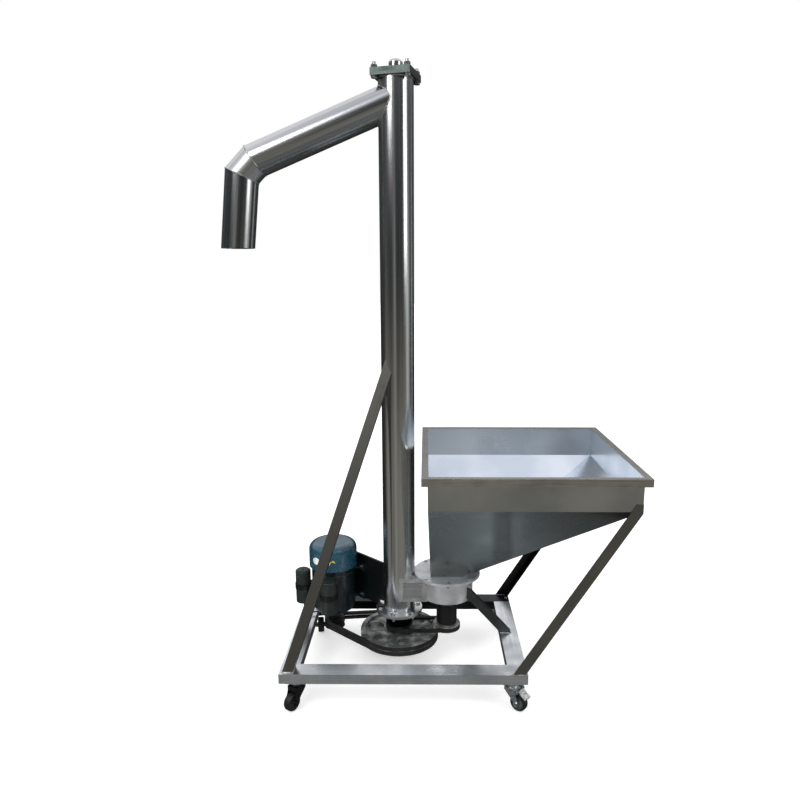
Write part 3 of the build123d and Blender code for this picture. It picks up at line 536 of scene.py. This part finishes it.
cowl_paint = hammertone("blue_hammertone_enamel", "#2b6179", "#143541", 0.26, 0.003)
body_paint = hammertone("dark_teal_enamel", "#14262c", "#091418", 0.36, 0.005)
dress("motor_fan_cowl", cowl_paint)
dress("motor_body", body_paint)
dress("motor_mount_plate", hammertone("dark_plate_enamel", "#10191c", "#060a0c", 0.42, 0.006))
motor_low, motor_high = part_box("motor_fan_cowl")
label_r = (motor_high.x - motor_low.x) / 2 + 0.0003          # labels lie just off the cowl
motor_axis = ((motor_low.x + motor_high.x) / 2, (motor_low.y + motor_high.y) / 2)
dress("motor_shaft", turned_steel("turned_motor_shaft", motor_axis, "#c9cac9", "#8c8d8c", 0.3))
dress("motor_fan", rubber("moulded_nylon_fan", "#1c1c1d", "#0d0d0e", 0.45, 300.0))
for node in ("start_capacitor", "run_capacitor"):
    dress(node, painted_iron("grey_capacitor_can_" + node, "#28302d", "#4c5652", 0.36, 0.04))
dress("capacitor_clamps", painted_iron("black_strap_enamel", "#121617", "#33393a", 0.36, 0.02))


def stuck_on(name, angle, high, width, height, rings=10, around=48):
    """An oval patch on the cowl: rings out from its middle, wrapped on the cowl's cylinder."""
    out = np.linspace(0, 1, rings)[1:, None]
    turn = np.linspace(0, 2 * math.pi, around, endpoint=False)[None, :]
    across = np.concatenate([[0.0], (out * np.cos(turn) * width / 2).ravel()])
    rise = np.concatenate([[0.0], (out * np.sin(turn) * height / 2).ravel()])
    return wrap(name, across, rise, angle, high, oval_faces(rings - 1, around))


def oval_faces(rings, around):
    """A fan of triangles round the middle point, then rings of quads."""
    faces = [[0, 1 + j, 1 + (j + 1) % around] for j in range(around)]
    for i in range(rings - 1):
        a, b = 1 + i * around, 1 + (i + 1) * around
        faces += [[a + j, b + j, b + (j + 1) % around, a + (j + 1) % around] for j in range(around)]
    return faces


def wrap(name, across, rise, angle, high, faces):
    """Bends a flat outline round the motor's axis and gives it the thickness of a label."""
    turn = angle + across / label_r
    points = np.column_stack([motor_axis[0] + label_r * np.cos(turn), motor_axis[1] + label_r * np.sin(turn),
                              high + rise])
    made = piece(name, points, faces)
    made.modifiers.new("thickness", "SOLIDIFY").thickness = 0.0004
    return made


def printed(name, light, dark):
    """Printed vinyl label: even colour, slightly yellowed and scuffed."""
    material, tree, shader, place = start_material(name, 0.0, 0.45)
    scuff = add(tree, "ShaderNodeTexNoise", {},
                {"Vector": place, "Scale": 160.0, "Detail": 5.0}).outputs["Fac"]
    tree.links.new(shade(tree, scuff, [(0.35, dark), (0.55, light)]), shader.inputs["Base Color"])
    return material


label_angle, label_high = math.radians(-126), 0.330
fix(stuck_on("cowl_label", label_angle, label_high, 0.030, 0.024),
    printed("white_vinyl", "#dfe3df", "#b4bab6"))
# turning-direction mark: a band along an arc that widens to an arrow head and runs out to a point
arc_steps, arc_r = 40, 0.009
arc_turn = np.linspace(math.radians(200), math.radians(20), arc_steps)
head_from, head_half, band_half = 0.62, 0.0034, 0.0010
head = np.clip((np.linspace(0, 1, arc_steps) - head_from) / (1 - head_from), 0, 1)
half = np.where(head > 0, head_half * (1 - head), band_half)
across = np.concatenate([(arc_r - half) * np.cos(arc_turn), (arc_r + half) * np.cos(arc_turn)])
rise = np.concatenate([(arc_r - half) * np.sin(arc_turn), (arc_r + half) * np.sin(arc_turn)])
band = [[i, i + 1, i + 1 + arc_steps, i + arc_steps] for i in range(arc_steps - 1)]
arrow_angle, arrow_high = math.radians(-84), 0.325
arrow = wrap("cowl_turning_arrow", across, rise, arrow_angle, arrow_high, band)
fix(arrow, printed("yellow_vinyl", "#e5cf3a", "#b9a229"))

# ---- casters ----------------------------------------------------------------------------
# Pressed steel forks, black on the left and zinc plated on the right, moulded rubber wheels
# on hubs that are black on the left and teal grey on the right, and pressed brake pedals.


def caster_wheel(name, centre, axle, hub):
    """Black tyre outside 19 mm from the axle, a plain hub inside, with moulding grain."""
    material, tree, shader, place = start_material(name, 0.0, 0.5)
    away = tuple(-float(c) for c in centre)
    shifted = add(tree, "ShaderNodeMapping", {}, {"Vector": place, "Location": away}).outputs["Vector"]
    crossed = add(tree, "ShaderNodeVectorMath", {"operation": "CROSS_PRODUCT"},
                  {0: shifted, 1: tuple(axle)})
    radius = add(tree, "ShaderNodeVectorMath", {"operation": "LENGTH"},
                 {0: crossed.outputs["Vector"]}).outputs["Value"]
    mm = add(tree, "ShaderNodeMath", {"operation": "MULTIPLY"}, {0: radius, 1: 20.0}).outputs["Value"]
    grain = add(tree, "ShaderNodeTexNoise", {},
                {"Vector": place, "Scale": 260.0, "Detail": 4.0}).outputs["Fac"]
    parts = shade(tree, mm, [(0.14, "#a3a5a4"), (0.16, hub), (0.36, hub), (0.39, "#191918")])
    dust = shade(tree, grain, [(0.3, "#9a9a98"), (0.7, "#ffffff")])
    mix = add(tree, "ShaderNodeMix", {"data_type": "RGBA", "blend_type": "MULTIPLY"},
              {"Factor": 1.0, "A": parts, "B": dust})
    tree.links.new(mix.outputs["Result"], shader.inputs["Base Color"])
    bump(tree, shader, grain, 0.0004)
    return material


black_fork = painted_iron("black_enamel_fork", "#0f1010", "#2f2f2e", 0.35, 0.0)
for joint in frame["joints"]:
    if joint["name"].endswith("_wheel_spin"):
        corner = joint["name"][:-len("_wheel_spin")]
        dress(corner + "_caster_wheel",
              caster_wheel("moulded_wheel_" + corner, joint["pos_m"], joint["axis"],
                           "#2c2c2c" if corner.endswith("left") else "#56605f"))
        dress(corner + "_caster_fork", black_fork if corner.endswith("left") else zinc)
        if not corner.endswith("left"):
            dress(corner + "_brake_pedal", plated("pressed_pedal_" + corner, "#d7d8d6", "#8d8e8b", 0.33))

# ---- floor, light and camera ----------------------------------------------------------
# A plain pale floor under an even sky; polished metal sees a workshop instead: a bright
# ceiling, a dim horizon with tall narrow windows, and a warm grey ground.
scene = bpy.context.scene
scene.view_settings.view_transform = "Standard"
floor_mesh = bpy.data.meshes.new("floor")
reach = 30.0
floor_mesh.from_pydata([(-reach, -reach, 0), (reach, -reach, 0), (reach, reach, 0), (-reach, reach, 0)], [],
                       [(0, 1, 2, 3)])
floor = bpy.data.objects.new("floor", floor_mesh)
scene.collection.objects.link(floor)
floor_paint, tree, shader, place = start_material("pale_floor", 0.0, 0.9)
speck = add(tree, "ShaderNodeTexNoise", {}, {"Vector": place, "Scale": 2.0, "Detail": 3.0}).outputs["Fac"]
tree.links.new(shade(tree, speck, [(0.3, "#f7f7f6"), (0.7, "#fbfbfb")]), shader.inputs["Base Color"])
shader.inputs["Emission Color"].default_value = linear("#ffffff")
shader.inputs["Emission Strength"].default_value = 0.42
floor_mesh.materials.append(floor_paint)
floor.visible_glossy = False

world = bpy.data.worlds.new("studio")
scene.world = world
world.use_nodes = True
tree = world.node_tree
background = tree.nodes["Background"]
toward = add(tree, "ShaderNodeTexCoord", {}, {}).outputs["Generated"]
parts = add(tree, "ShaderNodeSeparateXYZ", {}, {"Vector": toward}).outputs
rise = add(tree, "ShaderNodeMapRange", {},
           {"Value": parts["Z"], "From Min": -1.0, "From Max": 1.0}).outputs["Result"]
front_room = shade(tree, rise, [(0.0, "#4c4e4d"), (0.25, "#7b7d7d"), (0.36, "#8f8a81"), (0.44, "#5a5751"),
                                (0.50, "#22272a"), (0.60, "#2f3436"), (0.68, "#3c4143"), (0.74, "#c9cbd6"),
                                (0.80, "#eceef6"), (1.0, "#f6f6ff")])
back_room = shade(tree, rise, [(0.0, "#4c4e4d"), (0.30, "#2c2b29"), (0.46, "#2c2f2f"), (0.64, "#4a4e4f"),
                               (0.69, "#e8eaee"), (0.73, "#ffffff"), (1.0, "#f6f6ff")])
behind = add(tree, "ShaderNodeMapRange", {},
             {"Value": parts["Y"], "From Min": -0.25, "From Max": 0.25}).outputs["Result"]
room = add(tree, "ShaderNodeMix", {"data_type": "RGBA"},
           {"Factor": behind, "A": front_room, "B": back_room})
room = room.outputs["Result"]
back = add(tree, "ShaderNodeMath", {"operation": "MULTIPLY"}, {0: parts["Y"], 1: -1.0}).outputs["Value"]
bearing = add(tree, "ShaderNodeMath", {"operation": "ARCTAN2"}, {0: parts["X"], 1: back}).outputs["Value"]
around = add(tree, "ShaderNodeMapRange", {},
             {"Value": bearing, "From Min": -math.pi, "From Max": math.pi}).outputs["Result"]
dark = "#000000"
windows = shade(tree, around,
                [(0.0, dark), (0.27, dark), (0.295, "#4a4f4f"), (0.32, dark), (0.425, dark),
                 (0.462, "#8f8c86"), (0.495, dark), (0.66, dark), (0.70, "#d4d8d8"), (0.745, "#8f9595"),
                 (0.77, dark), (0.815, dark), (0.828, "#f4f4f4"), (0.842, dark), (1.0, dark)])
# the windows fade out well above and below the horizon
near_level = shade(tree, rise,
                   [(0.16, dark), (0.34, "#bcbcbc"), (0.5, "#ffffff"), (0.60, "#8a8a8a"), (0.68, dark)])
windows = add(tree, "ShaderNodeMix", {"data_type": "RGBA", "blend_type": "MULTIPLY"},
              {"Factor": 1.0, "A": windows, "B": near_level}).outputs["Result"]
# a pale strip on the ground to the right, seen by surfaces that face down
strip = shade(tree,
              add(tree, "ShaderNodeMapRange", {},
                  {"Value": parts["X"], "From Min": -0.5, "From Max": 0.5}).outputs["Result"],
              [(0.35, "#2c3133"), (0.57, "#4b5458"), (0.605, "#9aa6ac"), (0.63, "#8e9aa0"), (0.645, dark)])
under = shade(tree, rise, [(0.03, "#ffffff"), (0.12, dark)])
strip = add(tree, "ShaderNodeMix", {"data_type": "RGBA", "blend_type": "MULTIPLY"},
            {"Factor": 1.0, "A": strip, "B": under}).outputs["Result"]
both = add(tree, "ShaderNodeMix", {"data_type": "RGBA", "blend_type": "SCREEN"},
           {"Factor": 1.0, "A": windows, "B": strip})
lit = add(tree, "ShaderNodeMix", {"data_type": "RGBA", "blend_type": "SCREEN"},
          {"Factor": 1.0, "A": room, "B": both.outputs["Result"]})
ray = add(tree, "ShaderNodeLightPath", {}, {}).outputs["Is Glossy Ray"]
seen = add(tree, "ShaderNodeMix", {"data_type": "RGBA"},
           {"Factor": ray, "A": linear("#ffffff"), "B": lit.outputs["Result"]})
tree.links.new(seen.outputs["Result"], background.inputs["Color"])
background.inputs["Strength"].default_value = 1.0


def soft_box(name, place, aim, size, power):
    """A rectangular area light at place, aimed at a point."""
    lamp = bpy.data.lights.new(name, "AREA")
    lamp.shape = "RECTANGLE"
    lamp.size, lamp.size_y = size
    lamp.energy = power
    made = bpy.data.objects.new(name, lamp)
    scene.collection.objects.link(made)
    made.location = place
    made.rotation_euler = (Vector(aim) - Vector(place)).to_track_quat("-Z", "Y").to_euler()
    return made


soft_box("key_light", (-2.2, -2.6, 3.2), (0, 0, 0.7), (1.6, 1.6), 45)
soft_box("fill_light", (2.8, -1.6, 2.2), (0.1, 0, 0.6), (1.2, 1.8), 22)

camera = bpy.data.objects.new("camera", bpy.data.cameras.new("camera"))
scene.collection.objects.link(camera)
scene.camera = camera
camera.data.sensor_width = 36.0
camera.data.lens = 30.40
camera.data.shift_x, camera.data.shift_y = -0.02595, 0.01645
camera.location = (tube_x + 0.0857, tube_y - 2.0579, 1.242)
camera.rotation_euler = (math.radians(90 - 11.457), 0, math.radians(0.42))
